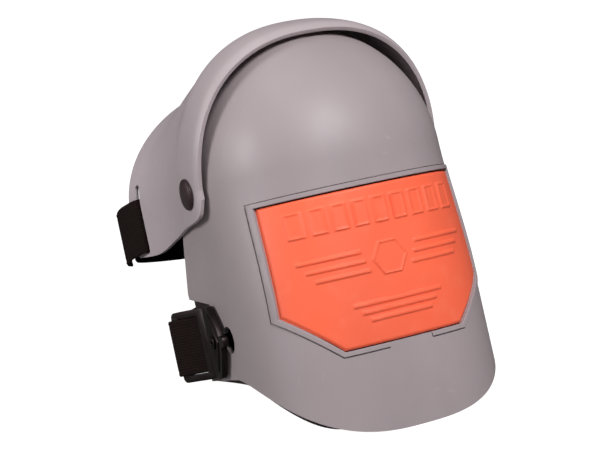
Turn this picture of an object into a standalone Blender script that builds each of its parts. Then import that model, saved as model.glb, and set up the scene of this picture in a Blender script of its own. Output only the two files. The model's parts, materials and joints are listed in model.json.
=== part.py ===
"""Hinged hard-shell knee pad: a domed knee and shin shell, a hooded thigh cuff that turns on two
rivets, a rubber knee insert, foam liners, and the webbing straps with their slide-in clips.

Everything is modelled about the knee axis: X across the leg, Y backwards, Z up along the shin.
The empty "knee_axis" then leans that frame back, so that the pad stands on its lower edge."""

import math

import bmesh
import bpy
import numpy as np
from mathutils import Matrix

# Knee and shin shell, metres
HALF_WIDTH = 0.0825
DEPTH = 0.0945
CROWN = 0.0940
TOP_POWER = 2.2
LOW_POWER = 2.7
WALL = 0.0030
FLARE = 0.105
FLARE_START = 0.020
SIDE_DROP = 0.125
FRONT_DROP = 0.171
RIM_POWER = 1.6
FRONT_SHARE = 0.68
REAR_EDGE_HEIGHTS = (-0.130, -0.100, -0.064, -0.030, 0.000, 0.040, 0.094)
REAR_EDGE_Y = (0.044, 0.052, 0.055, 0.044, 0.031, 0.019, 0.008)
STRAP_NOTCH = ((0.022, -0.0735), (0.022, -0.0775), (0.080, -0.0880), (0.080, -0.0640))

# How the pad stands, and where the knee axis is above the floor
LEAN = math.radians(17.2)
AXIS_Y = 0.0004
AXIS_Z = 0.1357

# Thigh cuff: (base y, apex y, apex z, half width, bottom edge z, squareness) of each arch, front to back
CUFF_WALL = 0.0028
CUFF_ARCHES = (
    (-0.0180, -0.0503, 0.0868, 0.0866, -0.0060, 2.35),
    (-0.0120, -0.0445, 0.0925, 0.0885, -0.0160, 2.35),
    (0.0000, -0.0275, 0.0978, 0.0893, -0.0190, 2.30),
    (0.0160, -0.0110, 0.1000, 0.0890, -0.0205, 2.30),
    (0.0240, 0.0080, 0.0984, 0.0886, -0.0215, 2.18),
    (0.0500, 0.0360, 0.0922, 0.0893, -0.0270, 2.12),
    (0.0780, 0.0700, 0.0830, 0.0935, -0.0330, 2.00),
    (0.1060, 0.1000, 0.0790, 0.1000, -0.0325, 2.00),
)
ARCH_SHARE = 0.90

# Knee insert: half widths and heights of its six-sided outline
INSERT_TOP_Z = -0.0205
INSERT_SIDE_Z = -0.0895
INSERT_BOTTOM_Z = -0.1170
INSERT_TOP_X = 0.0675
INSERT_SIDE_X = 0.0690
INSERT_BOTTOM_X = 0.0400
INSERT_FIT = 0.0004
INSERT_SUNK = 0.0002
INSERT_THICK = 0.0034
FLANGE = 0.0045
FLANGE_THICK = 0.0011

# Rivets: heads outside the cuff, spacers between the shells, caps inside the lower shell
RIVET_HEAD_R = 0.0105
RIVET_HEAD_H = 0.0032
RIVET_SHANK_R = 0.0045
SPACER_R = 0.0085
CAP_R = 0.0080
CAP_THICK = 0.0018
GAP = 0.0004
ROOM = 0.0010
CAP_X = HALF_WIDTH - WALL - 2.5 * GAP

# Foam
FOAM_SIDE_INSET = 0.0048
FOAM_FRONT_INSET = 0.0056
FOAM_THICK = 0.0090
FOAM_MARGIN = 0.0042
CUSHION_THICK = 0.0110
CUSHION_REACH = 0.40
CUSHION_SPAN = (-0.86, 0.22)
THIGH_FOAM_SPAN = (5.62, 6.35)
THIGH_FOAM_RISE = 0.010
THIGH_FOAM_THICK = 0.005

# Straps and clips; the tab's outline is (y, z from the clip's middle)
STRAP_WIDTH = 0.038
STRAP_THICK = 0.0018
CLIP_Z = -0.0985
CLIP_YAW = math.radians(28)
CLIP_THICK = 0.0040
CLIP_TRAVEL = 0.0150
CLIP_FRAME = 0.0480
CLIP_REACH = 0.0340
CLIP_BEND_Y = 0.0265
CLIP_TAB_REAR = 0.0300
CLIP_FRONT_BAR = 0.0070
CLIP_REAR_BAR = 0.0060
CLIP_END_BAR = (CLIP_FRAME - STRAP_WIDTH) / 2 - 0.0008
CLIP_TAB = (
    (0.012, CLIP_FRAME / 2),
    (0.029, CLIP_FRAME / 2),
    (0.029, -CLIP_FRAME / 2),
    (0.012, -CLIP_FRAME / 2),
    (-0.001, -0.007),
    (-0.001, 0.007),
)
KEYHOLE_R = 0.0090
KEYHOLE_SLOT_R = 0.0045
BUTTON_R = 0.0078
BUTTON_THICK = 0.0018
BUTTON_PROUD = 0.0016
THIGH_STRAP_Z = -0.0110
SLOT_Y = 0.0900
SLOT_WIDTH = 0.0062
SLOT_SPARE = 0.0012
SLOT_TOP = 0.0180
LOOP_REAR_Y = 0.1060


def clear_scene():
    for old in list(bpy.data.objects):
        bpy.data.objects.remove(old, do_unlink=True)


def new_collection(name, hidden=False):
    group = bpy.data.collections.new(name)
    bpy.context.scene.collection.children.link(group)
    group.hide_render = hidden
    return group


def material(name, color, roughness):
    made = bpy.data.materials.new(name)
    made.use_nodes = True
    shader = made.node_tree.nodes["Principled BSDF"]
    shader.inputs["Base Color"].default_value = (*color, 1.0)
    shader.inputs["Roughness"].default_value = roughness
    shader.inputs["Metallic"].default_value = 0.0
    return made


clear_scene()
PARTS = new_collection("hinged_knee_pad")
CUTTERS = new_collection("cutters", hidden=True)
KNEE_AXIS = bpy.data.objects.new("knee_axis", None)
PARTS.objects.link(KNEE_AXIS)
KNEE_AXIS.location = (0.0, AXIS_Y, AXIS_Z)
KNEE_AXIS.rotation_euler = (-LEAN, 0.0, 0.0)

GREY = ((0.42, 0.38, 0.38), 0.42)
ORANGE = ((0.90, 0.16, 0.08), 0.50)
BLACK = ((0.012, 0.011, 0.011), 0.55)
FOAM = ((0.020, 0.018, 0.018), 0.90)
WEBBING = ((0.015, 0.014, 0.014), 0.85)


def place(name, mesh, look, group=PARTS):
    """Adds the mesh as an object that stands in the knee axis's frame."""
    thing = bpy.data.objects.new(name, mesh)
    group.objects.link(thing)
    thing.parent = KNEE_AXIS
    if group is CUTTERS:
        thing.hide_render = True
        thing.display_type = "WIRE"
    else:
        mesh.materials.append(material(name, *look))
        mesh.shade_smooth()
        mesh.set_sharp_from_angle(angle=math.radians(35))
    return thing


def grid_mesh(name, rows):
    """An open sheet through rows of points, each row as long as the others."""
    mesh = bpy.data.meshes.new(name)
    bm = bmesh.new()
    verts = [[bm.verts.new(point) for point in row] for row in rows]
    for low, high in zip(verts, verts[1:]):
        for a, b, c, d in zip(low, low[1:], high[1:], high):
            bm.faces.new((a, b, c, d))
    bmesh.ops.remove_doubles(bm, verts=bm.verts, dist=1e-6)
    bm.to_mesh(mesh)
    bm.free()
    return mesh


def thicken(thing, thickness):
    """Gives an open sheet its wall, inwards from the face it was drawn on."""
    solid = thing.modifiers.new("wall", "SOLIDIFY")
    solid.thickness = thickness
    solid.offset = -1.0
    solid.use_even_offset = True
    return thing


def boolean(thing, operation, other):
    step = thing.modifiers.new(operation.lower(), "BOOLEAN")
    step.operation = operation
    step.object = other
    step.solver = "EXACT"


def superellipse(angle, power):
    c, s = math.cos(angle), math.sin(angle)
    size = (abs(c) ** power + abs(s) ** power) ** (-1 / power)
    return c * size, s * size


def rear_edge(z):
    """How far behind the knee axis the shell's side walls end at height z."""
    return float(np.interp(z, REAR_EDGE_HEIGHTS, REAR_EDGE_Y))


def section_power(w):
    """The shell's section is round about the knee axis, and squarer towards its lower rim."""
    low = min(max(-w / 0.6, 0.0), 1.0)
    return TOP_POWER + (LOW_POWER - TOP_POWER) * low * low * (3 - 2 * low)


def wall_flare(y):
    """How much wider the side wall is, y behind the knee axis."""
    return FLARE * (math.hypot(y, FLARE_START) - FLARE_START)


# The clip's inner face, just clear of the wall
CLIP_FACE = HALF_WIDTH + wall_flare(CLIP_TAB_REAR) + GAP


def shell_point(u, w, inset=0.0, front_inset=None, margin=0.0):
    """Outer face of the lower shell. u runs from -1 at the left rear edge round the front to 1 at
    the right one, and w from -1 at the lower rim through 0 at the knee axis to 1 at the crown."""
    front_inset = inset if front_inset is None else front_inset
    half, depth = HALF_WIDTH - inset, DEPTH - front_inset
    lift, shrink = (math.sin(w * math.pi / 2), math.cos(w * math.pi / 2)) if w > 0 else (0.0, 1.0)
    side = -1.0 if u < 0 else 1.0
    if abs(u) > FRONT_SHARE:
        along = (abs(u) - FRONT_SHARE) / (1 - FRONT_SHARE)
        z = (CROWN - inset) * lift + min(w, 0.0) * (SIDE_DROP + margin * (1 - 0.8 * along))
        y = along * (rear_edge(z) + margin)
        return side * (half + wall_flare(y)) * shrink, y, z
    power = section_power(w)
    c, s = superellipse(math.pi / 2 * (1 - u / FRONT_SHARE), power)
    y = -depth * shrink * s
    drop = SIDE_DROP + (FRONT_DROP - SIDE_DROP) * abs(s) ** RIM_POWER + margin * (1 - 3.5 * abs(s) ** 12)
    return half * shrink * c, y, (CROWN - inset) * lift + min(w, 0.0) * drop


def steps(first, last, count):
    return [first + (last - first) * i / (count - 1) for i in range(count)]


def shell_sheet(name, us, ws, **offsets):
    rows = [[shell_point(u, w, **offsets) for u in us] for w in ws]
    return grid_mesh(name, rows)


AROUND = [-1.0, -0.9, -0.8, *steps(-FRONT_SHARE, FRONT_SHARE, 23), 0.8, 0.9, 1.0]
UPWARDS = [*steps(-1.0, 0.0, 8), *steps(0.11, 1.0, 9)]
FRONT_CUT = (-0.15, -0.02)
SIDE_CUT = (0.060, 0.130)


def prism(name, outline, low, high, axis="Y"):
    """A solid of the (a, b) outline, extruded along axis from low to high."""
    order = {"X": lambda a, b, c: (c, a, b), "Y": lambda a, b, c: (a, c, b)}[axis]
    bm = bmesh.new()
    face = bm.faces.new([bm.verts.new(order(a, b, low)) for a, b in outline])
    grown = bmesh.ops.extrude_face_region(bm, geom=[face])
    far = [v for v in grown["geom"] if isinstance(v, bmesh.types.BMVert)]
    bmesh.ops.translate(bm, vec=order(0.0, 0.0, high - low), verts=far)
    bmesh.ops.recalc_face_normals(bm, faces=bm.faces)
    mesh = bpy.data.meshes.new(name)
    bm.to_mesh(mesh)
    bm.free()
    return mesh


def cutter(mesh):
    return place(mesh.name, mesh, None, CUTTERS)


def front_prism(name, outline):
    """A cutter through the front wall."""
    return cutter(prism(name, outline, *FRONT_CUT))


def turned(name, profile, segments=24):
    """A solid turned about X from a profile of (x, radius) points, first and last on the axis."""
    mesh = bpy.data.meshes.new(name)
    bm = bmesh.new()
    verts = [bm.verts.new((x, 0.0, radius)) for x, radius in profile]
    edges = [bm.edges.new(pair) for pair in zip(verts, verts[1:])]
    bmesh.ops.spin(
        bm, geom=[*verts, *edges], cent=(0, 0, 0), axis=(1, 0, 0), angle=2 * math.pi, steps=segments
    )
    bmesh.ops.remove_doubles(bm, verts=bm.verts, dist=1e-6)
    bmesh.ops.recalc_face_normals(bm, faces=bm.faces)
    bm.to_mesh(mesh)
    bm.free()
    return mesh


def disc(name, radius, low, high):
    return turned(name, ((low, 0.0), (low, radius), (high, radius), (high, 0.0)))


def insert_outline(grow):
    """The insert's six-sided outline as (x, z), grown by that much on every side."""
    corners = (
        (INSERT_TOP_X + grow, INSERT_TOP_Z + grow),
        (INSERT_SIDE_X + grow, INSERT_SIDE_Z - grow * 0.5),
        (INSERT_BOTTOM_X + grow * 0.5, INSERT_BOTTOM_Z - grow),
    )
    return [*corners, *[(-x, z) for x, z in reversed(corners)]]


def keyhole_outline(grow=0.0):
    """A round hole in front, with a narrow slot running back from it, as (y, z)."""
    round_r, slot_r = KEYHOLE_R + grow, KEYHOLE_SLOT_R + grow
    half_angle = math.asin(slot_r / round_r)
    front = [
        (round_r * math.cos(angle), CLIP_Z + round_r * math.sin(angle))
        for angle in steps(half_angle, 2 * math.pi - half_angle, 17)
    ]
    back = [
        (CLIP_TRAVEL + slot_r * math.cos(angle), CLIP_Z + slot_r * math.sin(angle))
        for angle in steps(-math.pi / 2, math.pi / 2, 9)
    ]
    return [*front, *back]


def pocket_outline():
    """Room behind the keyhole for the button, all along its travel, as (y, z)."""
    room = BUTTON_R + ROOM
    angles = steps(0.5 * math.pi, 1.5 * math.pi, 9)
    front = [(room * math.cos(a), CLIP_Z + room * math.sin(a)) for a in angles]
    return [*front, *[(CLIP_TRAVEL - y, z) for y, z in reversed(front)]]


def side_prism(name, outline, side, low=SIDE_CUT[0]):
    """A cutter through one side wall, for side -1 (left) or 1 (right)."""
    high = SIDE_CUT[1]
    return cutter(prism(name, outline, *((low, high) if side > 0 else (-high, -low)), axis="X"))


def rivet_hole(side):
    """A cutter for the rivet's hole through one side wall."""
    low, high = (SIDE_CUT[0], SIDE_CUT[1]) if side > 0 else (-SIDE_CUT[1], -SIDE_CUT[0])
    return place("rivet_hole", disc("rivet_hole", RIVET_SHANK_R + GAP, low, high), None, CUTTERS)


def lower_shell():
    shell = thicken(place("lower_shell", shell_sheet("lower_shell", AROUND, UPWARDS), GREY), WALL)
    boolean(shell, "DIFFERENCE", front_prism("insert_window", insert_outline(INSERT_FIT)))
    for side in (-1, 1):
        notch = side_prism("strap_notch", STRAP_NOTCH, side)
        keyhole = side_prism("keyhole", keyhole_outline(), side)
        for opening in (rivet_hole(side), notch, keyhole):
            boolean(shell, "DIFFERENCE", opening)
    floor = bpy.data.meshes.new("floor_cut")
    bm = bmesh.new()
    bmesh.ops.create_cube(bm, size=1.0)
    bm.to_mesh(floor)
    bm.free()
    below = cutter(floor)
    below.parent = None
    below.location = (0.0, 0.0, -0.5)
    boolean(shell, "DIFFERENCE", below)


def knee_insert():
    """The rubber plate fills the shell's window, and a thin flange behind it holds it in."""
    across = [u for u in AROUND if abs(u) < FRONT_SHARE - 0.03]
    up = [w for w in UPWARDS if w <= 0.0]
    plug = place("knee_insert", shell_sheet("knee_insert", across, up, inset=INSERT_SUNK), ORANGE)
    thicken(plug, INSERT_THICK)
    boolean(plug, "INTERSECT", front_prism("insert_shape", insert_outline(0.0)))
    flange = cutter(shell_sheet("insert_flange", across, up, inset=WALL + 0.0003))
    thicken(flange, FLANGE_THICK)
    boolean(flange, "INTERSECT", front_prism("flange_shape", insert_outline(FLANGE)))
    boolean(plug, "UNION", flange)


def knee_foam():
    """The liner that backs the whole lower shell, and shows as a black edge below and behind it."""
    offsets = {"inset": FOAM_SIDE_INSET, "front_inset": FOAM_FRONT_INSET, "margin": FOAM_MARGIN}
    sheet = shell_sheet("knee_foam", AROUND, UPWARDS[:-2], **offsets)
    foam = thicken(place("knee_foam", sheet, FOAM), FOAM_THICK)
    cap_room = disc("cap_pocket", CAP_R + ROOM, CAP_X - CAP_THICK - GAP, SIDE_CUT[1])
    button_floor = HALF_WIDTH - WALL - GAP - BUTTON_THICK - ROOM
    for side in (-1, 1):
        boolean(foam, "DIFFERENCE", side_prism("button_pocket", pocket_outline(), side, button_floor))
        boolean(foam, "DIFFERENCE", cutter(cap_room if side > 0 else mirrored(cap_room)))


def knee_cushion():
    """The softer pad on the liner, right behind the insert."""
    inner = FOAM_FRONT_INSET + FOAM_THICK + GAP
    across, up = steps(-CUSHION_REACH, CUSHION_REACH, 11), steps(*CUSHION_SPAN, 9)
    sheet = shell_sheet("knee_cushion", across, up, inset=inner)
    thicken(place("knee_cushion", sheet, FOAM), CUSHION_THICK)


def spline(rows, value):
    """The rows' values at a fractional row number, on a smooth curve through them."""
    index = min(int(value), len(rows) - 2)
    part = value - index
    before, first, second, after = (
        np.array(rows[min(max(index + shift, 0), len(rows) - 1)]) for shift in (-1, 0, 1, 2)
    )
    return 0.5 * (
        2 * first
        + (second - before) * part
        + (2 * before - 5 * first + 4 * second - after) * part**2
        + (3 * first - before - 3 * second + after) * part**3
    )


def cuff_point(t, station, inset=0.0, rise=0.0):
    """Outer face of the thigh cuff. t runs from -1 at the left bottom edge over the leg to 1, and
    station counts the arches from the lip. Rise lifts the bottom edge."""
    base_y, apex_y, apex_z, half, bottom, power = spline(CUFF_ARCHES, station)
    half -= inset
    apex_z -= inset
    side = -1.0 if t < 0 else 1.0
    if abs(t) > ARCH_SHARE:
        return side * half, base_y, (bottom + rise) * (abs(t) - ARCH_SHARE) / (1 - ARCH_SHARE)
    c, s = superellipse(math.pi / 2 * (1 - t / ARCH_SHARE), power)
    return half * c, base_y + (apex_y - base_y) * s, apex_z * s


OVER = [-1.0, *steps(-ARCH_SHARE, ARCH_SHARE, 27), 1.0]


def thigh_cuff():
    stations = [0.0, 0.5, 1.0, 1.6, 2.3, 3.0, 3.5, 4.0, 4.7, 5.5, 6.2, 7.0]
    rows = [[cuff_point(t, station) for t in OVER] for station in stations]
    cuff = thicken(place("thigh_cuff", grid_mesh("thigh_cuff", rows), GREY), CUFF_WALL)
    front, rear = SLOT_Y, SLOT_Y + SLOT_WIDTH
    low, high = THIGH_STRAP_Z - STRAP_WIDTH / 2 - SLOT_SPARE, SLOT_TOP
    slot = ((front, low), (rear, low), (rear, high), (front, high))
    for side in (-1, 1):
        boolean(cuff, "DIFFERENCE", side_prism("strap_slot", slot, side))
        boolean(cuff, "DIFFERENCE", rivet_hole(side))


def thigh_foam():
    stations = steps(*THIGH_FOAM_SPAN, 4)
    inset = CUFF_WALL + GAP
    rows = [[cuff_point(t, station, inset, THIGH_FOAM_RISE) for t in OVER] for station in stations]
    thicken(place("thigh_foam", grid_mesh("thigh_foam", rows), FOAM), THIGH_FOAM_THICK)


def mirrored(mesh):
    """The mesh's reflection in the plane between the two sides."""
    twin = mesh.copy()
    twin.transform(Matrix.Scale(-1, 4, (1, 0, 0)))
    twin.flip_normals()
    return twin


def pair(name, mesh, look):
    """Places the right-hand mesh and its reflection on the left."""
    return place(name + "_right", mesh, look), place(name + "_left", mirrored(mesh), look)


def cuff_side_x(y):
    """Outer face of the cuff's side wall at height 0, y behind the knee axis."""
    samples = [cuff_point(1.0, station) for station in steps(0.0, 7.0, 57)]
    return float(np.interp(y, [p[1] for p in samples], [p[0] for p in samples]))


def rivets():
    outside = cuff_side_x(RIVET_HEAD_R) + GAP
    end = CAP_X - CAP_THICK
    angles = steps(0.0, math.pi / 2, 6)
    dome = [(outside + RIVET_HEAD_H * math.sin(a), RIVET_HEAD_R * math.cos(a)) for a in angles]
    bore, shank = RIVET_SHANK_R, RIVET_SHANK_R - GAP
    profile = ((end, 0.0), (end, shank), (outside, shank), *dome)
    pair("pivot_rivet", turned("pivot_rivet", profile), BLACK)
    spacer_low, spacer_high = HALF_WIDTH + GAP, cuff_side_x(-SPACER_R) - CUFF_WALL - GAP
    for name, low, high, radius in (
        ("pivot_spacer", spacer_low, spacer_high, SPACER_R),
        ("rivet_cap", end, CAP_X, CAP_R),
    ):
        ring = ((low, bore), (low, radius), (high, radius), (high, bore), (low, bore))
        pair(name, turned(name, ring), BLACK)


def band(name, path, width, thickness, look):
    """A flat strap of webbing: path lists the points of its middle line, seen from above."""
    rows = [[(x, y, z + edge * width / 2) for x, y, z in path] for edge in (-1, 0, 1)]
    strap = place(name, grid_mesh(name, rows), look)
    solid = strap.modifiers.new("thickness", "SOLIDIFY")
    solid.thickness = thickness
    solid.offset = 0.0
    solid.use_even_offset = True
    return strap


def round_route(points, count):
    """Count points on a smooth curve through the given right-hand points and their reflections."""
    whole = [*points, *[(-x, y, z) for x, y, z in reversed(points[:-1])]]
    return [tuple(spline(whole, value)) for value in steps(0.0, len(whole) - 1.001, count)]


def clips():
    """A clip lies over each keyhole: a flat tab under the button, then a frame bent outwards that
    holds the strap round its rear bar. Its button reaches through the slot behind the shell wall."""
    tab = [(y, CLIP_Z + z) for y, z in CLIP_TAB]
    body = prism("clip_tab", tab, CLIP_FACE, CLIP_FACE + CLIP_THICK, axis="X")
    frame = frame_mesh()
    frame.transform(Matrix.Rotation(-CLIP_YAW, 4, "Z"))
    frame.transform(Matrix.Translation((CLIP_FACE, CLIP_BEND_Y, CLIP_Z)))
    neck_r = KEYHOLE_SLOT_R - GAP
    inner, top = HALF_WIDTH - WALL - GAP, CLIP_FACE + CLIP_THICK + BUTTON_PROUD
    back = inner - BUTTON_THICK
    head = ((back, 0.0), (back, BUTTON_R), (inner, BUTTON_R), (inner, neck_r))
    button = turned("clip_button", (*head, (top, neck_r), (top, 0.0)))
    bore = disc("button_bore", neck_r + GAP, CLIP_FACE - WALL, top)
    for mesh in (button, bore):
        mesh.transform(Matrix.Translation((0.0, CLIP_TRAVEL, CLIP_Z)))
    pair("clip_button", button, BLACK)
    for word, side in (("right", lambda mesh: mesh), ("left", mirrored)):
        clip = place(f"strap_clip_{word}", side(body).copy(), BLACK)
        boolean(clip, "UNION", cutter(side(frame)))
        boolean(clip, "DIFFERENCE", cutter(side(bore)))


def frame_mesh():
    """The clip's open frame, flat in the Y-Z plane and reaching back from its front bar."""
    half, end = CLIP_FRAME / 2, CLIP_FRAME / 2 - CLIP_END_BAR
    front, rear = CLIP_FRONT_BAR, CLIP_REACH - CLIP_REAR_BAR
    rings = (
        ((0.0, half), (0.0, -half), (CLIP_REACH, -half), (CLIP_REACH, half)),
        ((front, end), (front, -end), (rear, -end), (rear, end)),
    )
    mesh = bpy.data.meshes.new("clip_frame")
    bm = bmesh.new()
    loops = [[[bm.verts.new((x, *at)) for at in ring] for ring in rings] for x in (0.0, CLIP_THICK)]
    for i in range(4):
        j = (i + 1) % 4
        for low, high in ((loops[0][0], loops[1][0]), (loops[1][1], loops[0][1])):
            bm.faces.new((low[i], low[j], high[j], high[i]))
        for rim, hole in (loops[0], loops[1]):
            bm.faces.new((rim[i], rim[j], hole[j], hole[i]))
    bmesh.ops.recalc_face_normals(bm, faces=bm.faces)
    bm.to_mesh(mesh)
    bm.free()
    return mesh


def clip_local(y, x=0.0):
    """Where a point of the bent frame lies seen from above: y along it, x out of its face."""
    s, c = math.sin(CLIP_YAW), math.cos(CLIP_YAW)
    return CLIP_FACE + y * s + x * c, CLIP_BEND_Y + y * c - x * s


def shin_strap():
    """The lower strap runs behind the calf, and its ends fold round the clips' rear bars."""
    gap = STRAP_THICK / 2 + GAP
    bar_front, bar_back = CLIP_REACH - CLIP_REAR_BAR, CLIP_REACH
    outside = CLIP_THICK + gap
    fold = [
        clip_local(bar_front - 0.0195, 0.0024),
        clip_local(bar_front - 0.0080, 0.0028),
        clip_local(bar_front - 0.0010, outside),
        clip_local(bar_back + 0.0009, outside + 0.0003),
        clip_local(bar_back + 0.0018, 0.0022),
        (0.0990, 0.0625),
        (0.0925, 0.0695),
        (0.0850, 0.0765),
    ]
    for side, word in ((1, "right"), (-1, "left")):
        points = [(side * x, y, CLIP_Z) for x, y in fold]
        band(f"shin_loop_{word}", points, STRAP_WIDTH, STRAP_THICK, WEBBING)
    route = [
        (0.0966, 0.0690, CLIP_Z),
        (0.0869, 0.0786, CLIP_Z + 0.0008),
        (0.0760, 0.0876, CLIP_Z + 0.0038),
        (0.0620, 0.0955, CLIP_Z + 0.0060),
        (0.0340, 0.1025, CLIP_Z + 0.0090),
        (0.0, 0.1045, CLIP_Z + 0.0100),
    ]
    band("shin_strap", round_route(route, 29), STRAP_WIDTH, STRAP_THICK, WEBBING)


def thigh_strap():
    """The upper strap runs behind the thigh, and its ends fold out through the cuff's slots."""
    z, rear = THIGH_STRAP_Z, LOOP_REAR_Y
    gap = STRAP_THICK / 2 + GAP
    mid = SLOT_Y + SLOT_WIDTH / 2
    wall_out = cuff_side_x(mid) + gap + 0.0004
    wall_in = cuff_side_x(mid) - CUFF_WALL - gap - 0.0006
    out = cuff_side_x(rear) + gap + 0.0002
    far = cuff_side_x(rear) - CUFF_WALL / 2
    fold = [
        (wall_in, mid + 0.0010, z),
        (wall_out, mid + 0.0003, z),
        (out, rear, z - 0.002),
        (out + 0.0012, rear + 0.006, z - 0.004),
        (far + 0.0030, rear + 0.018, z - 0.007),
        (far + 0.0010, rear + 0.026, z - 0.008),
    ]
    for side, word in ((1, "right"), (-1, "left")):
        points = [(side * x, y, z) for x, y, z in fold]
        band(f"thigh_loop_{word}", points, STRAP_WIDTH, STRAP_THICK, WEBBING)
    route = [
        (cuff_side_x(rear) - CUFF_WALL - gap - 0.0012, rear - 0.004, z),
        (cuff_side_x(rear) - CUFF_WALL - gap, rear + 0.004, z),
        (far - 0.0014, rear + 0.018, z - 0.003),
        (0.0900, 0.1350, z - 0.006),
        (0.0500, 0.1440, z - 0.010),
        (0.0, 0.1470, z - 0.012),
    ]
    band("thigh_strap", round_route(route, 31), STRAP_WIDTH, STRAP_THICK, WEBBING)


lower_shell()
knee_insert()
knee_foam()
knee_cushion()
thigh_cuff()
thigh_foam()
rivets()
clips()
shin_strap()
thigh_strap()
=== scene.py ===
"""Looks of the hinged knee pad: finer shells, rubber insert, foam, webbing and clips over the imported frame.

Each piece is modelled about the knee axis, X across the leg, Y backwards and Z up along the shin, and is
then turned into the frame's own coordinates. It rides on the body of the part that it stands for."""

import json
import math

import bmesh
import bpy
import numpy as np
from mathutils import Matrix, Vector
from mathutils.bvhtree import BVHTree


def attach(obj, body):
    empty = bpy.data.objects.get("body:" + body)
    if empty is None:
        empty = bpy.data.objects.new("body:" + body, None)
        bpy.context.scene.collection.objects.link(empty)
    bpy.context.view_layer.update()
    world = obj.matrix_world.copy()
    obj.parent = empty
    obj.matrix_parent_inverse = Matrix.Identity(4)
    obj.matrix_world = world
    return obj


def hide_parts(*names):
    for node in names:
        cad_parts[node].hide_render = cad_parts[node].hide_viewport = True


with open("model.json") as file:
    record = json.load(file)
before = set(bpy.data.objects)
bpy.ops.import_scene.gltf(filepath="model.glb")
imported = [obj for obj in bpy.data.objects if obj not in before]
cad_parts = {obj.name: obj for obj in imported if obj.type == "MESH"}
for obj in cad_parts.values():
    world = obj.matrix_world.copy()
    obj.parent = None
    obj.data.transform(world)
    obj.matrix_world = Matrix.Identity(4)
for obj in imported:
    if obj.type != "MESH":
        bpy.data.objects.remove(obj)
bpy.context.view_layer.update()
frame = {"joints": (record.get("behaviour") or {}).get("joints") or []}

# Where the knee axis is, and how far the shin leans back
JOINTS = {joint["name"]: joint for joint in frame["joints"]}
PIVOT = Vector(JOINTS["knee_hinge"]["pos_m"])
SLIDE = JOINTS["clip_slide_left"]["axis"]
LEAN = math.atan2(SLIDE[2], -SLIDE[1])
TO_FRAME = Matrix.Translation(PIVOT) @ Matrix.Rotation(-LEAN, 4, "X")

# Knee and shin shell, metres. The side walls flare towards the back, and the rim drops towards the front
HALF_WIDTH, DEPTH, CROWN, WALL = 0.0825, 0.0945, 0.0940, 0.0030
TOP_POWER, LOW_POWER, RIM_POWER = 2.2, 2.7, 1.6
FLARE, FLARE_START = 0.105, 0.020
SIDE_DROP, FRONT_DROP, FRONT_SHARE = 0.125, 0.171, 0.68
REAR_EDGE_HEIGHTS = (-0.130, -0.100, -0.064, -0.030, 0.000, 0.040, 0.094)
REAR_EDGE_Y = (0.044, 0.052, 0.055, 0.044, 0.031, 0.019, 0.008)
SHELL_ROWS_BELOW, SHELL_ROWS_ABOVE = 200, 60
STRAP_NOTCH = ((0.022, -0.0735), (0.022, -0.0775), (0.080, -0.0880), (0.080, -0.0640))

# Thigh cuff arches, front to back: base y, apex y, apex z, half width, bottom edge z, squareness
CUFF_WALL, ARCH_SHARE = 0.0028, 0.90
CUFF_ARCHES = (
    (-0.0180, -0.0503, 0.0868, 0.0866, -0.0060, 2.35),
    (-0.0120, -0.0445, 0.0925, 0.0885, -0.0160, 2.35),
    (0.0000, -0.0275, 0.0978, 0.0893, -0.0190, 2.30),
    (0.0160, -0.0110, 0.1000, 0.0890, -0.0205, 2.30),
    (0.0240, 0.0080, 0.0984, 0.0886, -0.0215, 2.18),
    (0.0500, 0.0360, 0.0922, 0.0893, -0.0270, 2.12),
    (0.0780, 0.0700, 0.0830, 0.0935, -0.0330, 2.00),
    (0.1060, 0.1000, 0.0790, 0.1000, -0.0325, 2.00),
)

# Knee insert, and the raised band round it with a groove outside: (distance from the insert, height) pairs.
# The stretches are (edge of the outline, first part, last part). They leave a break in the bottom edge
INSERT_TOP_Z, INSERT_SIDE_Z, INSERT_BOTTOM_Z = -0.0205, -0.0895, -0.1170
INSERT_TOP_X, INSERT_SIDE_X, INSERT_BOTTOM_X = 0.0675, 0.0690, 0.0400
INSERT_SUNK, INSERT_BACK, WINDOW_GAP = 0.0002, 0.0036, 0.0007
INSERT_EDGE, INSERT_EDGE_DROP = 0.0018, 0.0012
BAND_SECTION = (
    (0.0008, -0.0020),
    (0.0008, 0.0007),
    (0.0011, 0.0010),
    (0.0033, 0.0010),
    (0.0036, 0.0007),
    (0.0036, -0.0020),
)
GROOVE_SECTION = ((0.0036, -0.0007), (0.0036, 0.0008), (0.0043, 0.0008), (0.0043, -0.0007))
BAND_STRETCHES = (
    (2, 0.656, 1.0),
    (3, 0.0, 1.0),
    (4, 0.0, 1.0),
    (5, 0.0, 1.0),
    (0, 0.0, 1.0),
    (1, 0.0, 1.0),
    (2, 0.0, 0.30),
)

# Grip pattern on the insert: a row of blocks, long ribs on both sides of a six-sided pad, short ribs below
TREAD_PROUD, TREAD_MARGIN = 0.0010, 0.0040
BLOCK_PITCH, BLOCKS_EACH_SIDE, BLOCK_Z, BLOCK_HALF = 0.0130, 4, -0.0362, (0.0046, 0.0082)
LONG_RIB_Z, LONG_RIB_PITCH, LONG_RIB_HALF = -0.0600, 0.0062, 0.0011
LONG_RIB_STARTS, LONG_RIB_END, LONG_RIB_STEP = (0.0185, 0.0165, 0.0145), 0.0560, 0.0040
PAD_Z, PAD_RIM, PAD_FLAT = -0.0665, 0.0105, 0.0096
SHORT_RIB_Z, SHORT_RIB_PITCH, SHORT_RIB_HALF, SHORT_RIB_STEP = -0.0920, 0.0050, (0.0300, 0.0012), 0.0045

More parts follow.
